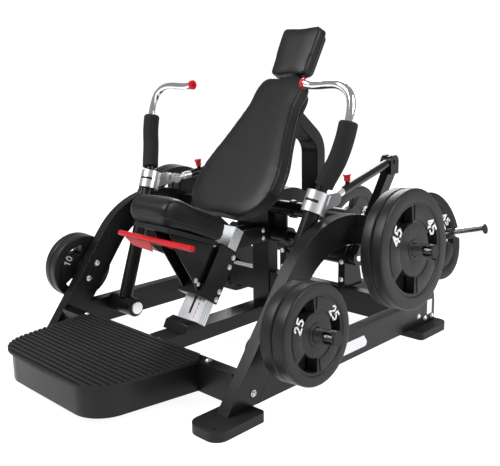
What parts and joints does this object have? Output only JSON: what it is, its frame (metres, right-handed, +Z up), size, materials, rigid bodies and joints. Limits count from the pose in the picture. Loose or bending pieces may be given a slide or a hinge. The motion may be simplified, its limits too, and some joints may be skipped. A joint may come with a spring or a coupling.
{
  "type": "plate-loaded seated lever press machine",
  "caption": "A reclined bench press machine with side arches, two foam-sleeved lever arms, telescoping links and a plate-loaded rear weight arm with storage horns.",
  "frame": {"origin": "On the floor, at the centre of the rectangle of the four foot anchor holes, midway between left and right.", "axes": "X runs across the machine towards its right side, Y runs from the foot platform to the weight arm, Z is up."},
  "size_m": [1.6454, 2.324, 1.3002],
  "materials": {
    "charcoal_frame": "satin",
    "black_rubber": "matte",
    "steel": "satin",
    "chrome": "polished",
    "aluminium": "satin",
    "vinyl": "satin",
    "board": "matte",
    "foam": "matte",
    "red_plastic": "gloss",
    "plate_urethane": "satin"
  },
  "bodies": {
    "root": {"left_arch": "charcoal_frame", "right_arch": "charcoal_frame", "left_base_rail": "charcoal_frame", "right_base_rail": "charcoal_frame", "front_cross_tube": "charcoal_frame", "rear_cross_tube": "charcoal_frame", "centre_rail": "charcoal_frame", "lower_column": "charcoal_frame", "upper_column": "charcoal_frame", "cross_tubes": "charcoal_frame", "platform_housing": "charcoal_frame", "work_pivot_brackets": "charcoal_frame", "seat_post_base": "charcoal_frame", "post_brackets": "charcoal_frame", "headrest_strap": "charcoal_frame", "rubber_bumpers": "black_rubber", "feet": "black_rubber", "platform_mat": "black_rubber", "horn_caps": "black_rubber", "arm_pivot_pins": "steel", "frame_bolts": "steel", "blank_plates": "steel", "storage_horns": "chrome", "seat_post": "aluminium", "back_pad": "vinyl", "headrest_pad": "vinyl", "pad_boards": "board"},
    "seat": {"seat_carriage": "charcoal_frame", "seat_gussets": "charcoal_frame", "seat_board": "board", "seat_pad": "vinyl"},
    "release_lever": {"seat_release_lever": "red_plastic"},
    "lock_pin": {"seat_lock_pin": "steel"},
    "weight_arm": {"work_arm": "charcoal_frame", "work_pivot_shaft": "steel", "work_horns": "chrome", "work_horn_caps": "black_rubber", "work_levers": "charcoal_frame"},
    "left_arm": {"left_press_arm": "charcoal_frame", "left_foam_sleeve": "foam", "left_handle": "chrome", "left_handle_cap": "red_plastic", "left_clamp": "aluminium"},
    "left_link": {"left_link_tube": "charcoal_frame"},
    "left_rod": {"left_link_rod": "steel"},
    "left_pin": {"left_pull_pin": "red_plastic"},
    "right_arm": {"right_press_arm": "charcoal_frame", "right_foam_sleeve": "foam", "right_handle": "chrome", "right_handle_cap": "red_plastic", "right_clamp": "aluminium"},
    "right_link": {"right_link_tube": "charcoal_frame"},
    "right_rod": {"right_link_rod": "steel"},
    "right_pin": {"right_pull_pin": "red_plastic"},
    "left_rear_storage_pair": {"left_rear_storage_plates": "plate_urethane"},
    "right_rear_storage_pair": {"right_rear_storage_plates": "plate_urethane"},
    "left_front_storage_pair": {"left_front_storage_plates": "plate_urethane"},
    "right_front_storage_pair": {"right_front_storage_plates": "plate_urethane"},
    "left_work_plate_body": {"left_work_plate": "plate_urethane"},
    "right_work_plate_body": {"right_work_plate": "plate_urethane"}
  },
  "joints": [
    {"name": "seat_slide", "type": "slide", "parent": "root", "child": "seat", "axis": [0, 0.5519, 0.8339], "range_m": [-0.085, 0]},
    {"name": "release_lever_hinge", "type": "hinge", "parent": "seat", "child": "release_lever", "pos_m": [0, -0.322, 0.452], "axis": [1, 0, 0], "range_deg": [-12, 0], "stiffness_Nm_per_rad": 20},
    {"name": "lock_pin_slide", "type": "slide", "parent": "seat", "child": "lock_pin", "axis": [0, -0.8339, 0.5519], "range_m": [0, 0.012]},
    {"name": "weight_arm_swing", "type": "hinge", "parent": "root", "child": "weight_arm", "pos_m": [0, 0.557, 0.286], "axis": [1, 0, 0], "range_deg": [0, 24]},
    {"name": "left_arm_swing", "type": "hinge", "parent": "root", "child": "left_arm", "pos_m": [-0.432, -0.262, 0.118], "axis": [1, 0, 0], "range_deg": [0, 19.4]},
    {"name": "left_link_swing", "type": "hinge", "parent": "weight_arm", "child": "left_link", "pos_m": [-0.362, 0.6, 0.725], "axis": [1, 0, 0], "range_deg": [-35, 0]},
    {"name": "left_rod_slide", "type": "slide", "parent": "left_link", "child": "left_rod", "axis": [-0.1706, -0.9735, -0.1521], "range_m": [0, 0.005]},
    {"name": "left_pull_pin_slide", "type": "slide", "parent": "left_link", "child": "left_pin", "axis": [-0.0262, -0.1498, 0.9884], "range_m": [0, 0.012], "stiffness_N_per_m": 900},
    {"name": "right_arm_swing", "type": "hinge", "parent": "root", "child": "right_arm", "pos_m": [0.432, -0.262, 0.118], "axis": [1, 0, 0], "range_deg": [0, 19.4]},
    {"name": "right_link_swing", "type": "hinge", "parent": "weight_arm", "child": "right_link", "pos_m": [0.362, 0.6, 0.725], "axis": [1, 0, 0], "range_deg": [-35, 0]},
    {"name": "right_rod_slide", "type": "slide", "parent": "right_link", "child": "right_rod", "axis": [0.1706, -0.9735, -0.1521], "range_m": [0, 0.005]},
    {"name": "right_pull_pin_slide", "type": "slide", "parent": "right_link", "child": "right_pin", "axis": [0.0262, -0.1498, 0.9884], "range_m": [0, 0.012], "stiffness_N_per_m": 900},
    {"name": "left_rear_storage_slide", "type": "slide", "parent": "root", "child": "left_rear_storage_pair", "axis": [-0.9976, 0, 0.0698], "range_m": [0, 0.12]},
    {"name": "right_rear_storage_slide", "type": "slide", "parent": "root", "child": "right_rear_storage_pair", "axis": [0.9976, 0, 0.0698], "range_m": [-0.06, 0.06]},
    {"name": "left_front_storage_slide", "type": "slide", "parent": "root", "child": "left_front_storage_pair", "axis": [-0.9976, 0, 0.0698], "range_m": [0, 0.12]},
    {"name": "right_front_storage_slide", "type": "slide", "parent": "root", "child": "right_front_storage_pair", "axis": [0.9976, 0, 0.0698], "range_m": [-0.06, 0.06]},
    {"name": "left_work_plate_slide", "type": "slide", "parent": "weight_arm", "child": "left_work_plate_body", "axis": [-0.9659, 0, 0.2588], "range_m": [0, 0.2]},
    {"name": "right_work_plate_slide", "type": "slide", "parent": "weight_arm", "child": "right_work_plate_body", "axis": [0.9659, 0, 0.2588], "range_m": [0, 0.2]}
  ],
  "couplings": [
    {"joint": "lock_pin_slide", "follows": "release_lever_hinge", "m_per_rad": -0.057296},
    {"joint": "left_arm_swing", "follows": "weight_arm_swing", "ratio": 0.806},
    {"joint": "left_link_swing", "follows": "weight_arm_swing", "ratio": -1.4555},
    {"joint": "right_arm_swing", "follows": "weight_arm_swing", "ratio": 0.806},
    {"joint": "right_link_swing", "follows": "weight_arm_swing", "ratio": -1.4555}
  ]
}
